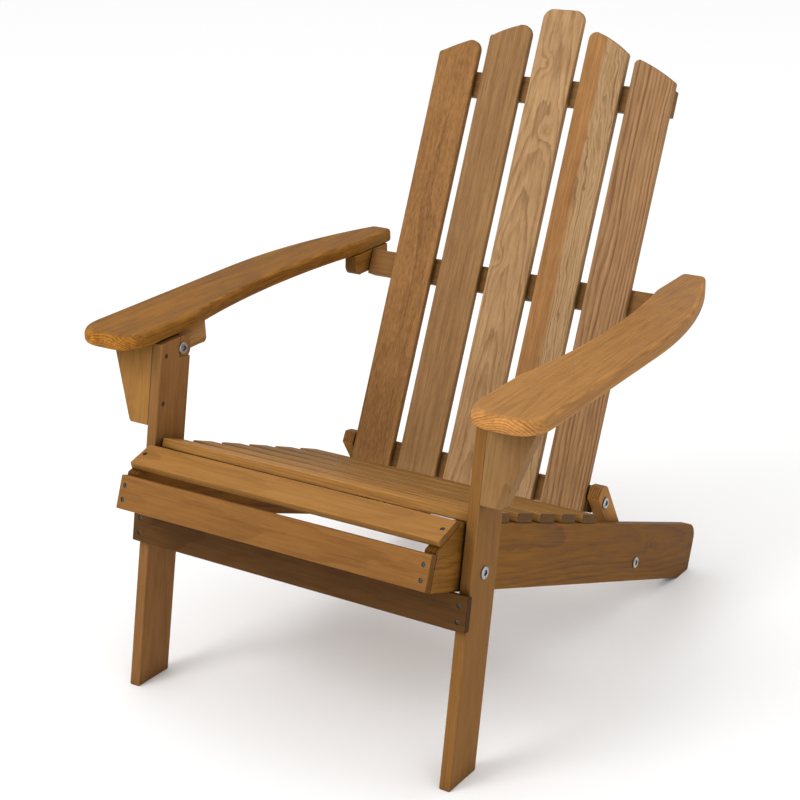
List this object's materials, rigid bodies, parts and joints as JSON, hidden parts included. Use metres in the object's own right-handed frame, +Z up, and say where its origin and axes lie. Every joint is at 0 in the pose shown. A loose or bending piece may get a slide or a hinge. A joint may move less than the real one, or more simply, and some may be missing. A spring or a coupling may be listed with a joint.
{
  "type": "folding garden lounge chair",
  "caption": "Folding wooden adirondack chair: sloping slatted seat, shaped slatted back, broad rounded arms on cleats, legs and back pivoting on bolts.",
  "frame": {"origin": "on the ground, midway between the sides and midway along the footprint of feet and rails", "axes": "+Z up, -Y the side the sitter faces, +X to the sitter's left (right side seen from the front)"},
  "size_m": [0.752, 0.8719, 0.9246],
  "materials": {
    "seat_wood": "oiled hardwood, satin",
    "arm_wood": "oiled hardwood, satin",
    "back_wood": "oiled hardwood, satin",
    "frame_wood": "oiled hardwood, satin",
    "zinc": "bright zinc plate",
    "dark_screw": "dull grey"
  },
  "bodies": {
    "seat_frame": {"rail_l": "frame_wood", "rail_r": "frame_wood", "apron": "frame_wood", "seat_slat_1": "seat_wood", "seat_slat_2": "seat_wood", "seat_slat_3": "seat_wood", "seat_slat_4": "seat_wood", "seat_slat_5": "seat_wood", "seat_slat_6": "seat_wood", "seat_slat_7": "seat_wood", "apron_screws": "dark_screw", "front_slat_screws": "dark_screw", "rail_bolts": "zinc"},
    "leg_frame": {"leg_l": "frame_wood", "leg_r": "frame_wood", "brace": "frame_wood", "bracket_l": "frame_wood", "bracket_r": "frame_wood", "brace_screws": "dark_screw", "bracket_screws": "dark_screw", "leg_bolts": "zinc", "leg_washers": "zinc", "arm_bolts": "zinc"},
    "arm_left": {"arm_l": "arm_wood", "front_cleat_l": "frame_wood", "rear_cleat_l": "frame_wood", "back_bolt_l": "zinc"},
    "arm_right": {"arm_r": "arm_wood", "front_cleat_r": "frame_wood", "rear_cleat_r": "frame_wood", "back_bolt_r": "zinc"},
    "back": {"back_slat_1": "back_wood", "back_slat_2": "back_wood", "back_slat_3": "back_wood", "back_slat_4": "back_wood", "back_slat_5": "back_wood", "batten_top": "frame_wood", "batten_mid": "frame_wood", "batten_low": "frame_wood", "link_bolts": "zinc"},
    "link_left": {"link_l": "frame_wood"},
    "link_right": {"link_r": "frame_wood"}
  },
  "joints": [
    {"name": "leg_fold", "type": "hinge", "parent": "seat_frame", "child": "leg_frame", "pos_m": [0, -0.326, 0.2885], "axis": [1, 0, 0], "range_deg": [0, 80]},
    {"name": "arm_left_pivot", "type": "hinge", "parent": "leg_frame", "child": "arm_left", "pos_m": [0, -0.274, 0.491], "axis": [-1, 0, 0], "range_deg": [0, 85]},
    {"name": "arm_right_pivot", "type": "hinge", "parent": "leg_frame", "child": "arm_right", "pos_m": [0, -0.274, 0.491], "axis": [-1, 0, 0], "range_deg": [0, 85]},
    {"name": "back_pivot", "type": "hinge", "parent": "arm_right", "child": "back", "pos_m": [0, 0.2385, 0.505], "axis": [1, 0, 0], "range_deg": [0, 93]},
    {"name": "link_left_pivot", "type": "hinge", "parent": "back", "child": "link_left", "pos_m": [0, 0.1175, 0.2215], "axis": [-1, 0, 0], "range_deg": [0, 154]},
    {"name": "link_right_pivot", "type": "hinge", "parent": "back", "child": "link_right", "pos_m": [0, 0.1175, 0.2215], "axis": [-1, 0, 0], "range_deg": [0, 154]}
  ],
  "couplings": [
    {"joint": "arm_left_pivot", "follows": "leg_fold", "ratio": 1.0549},
    {"joint": "arm_right_pivot", "follows": "leg_fold", "ratio": 1.0549},
    {"joint": "back_pivot", "follows": "leg_fold", "ratio": 1.1549},
    {"joint": "link_left_pivot", "follows": "leg_fold", "ratio": 1.9162},
    {"joint": "link_right_pivot", "follows": "leg_fold", "ratio": 1.9162}
  ]
}
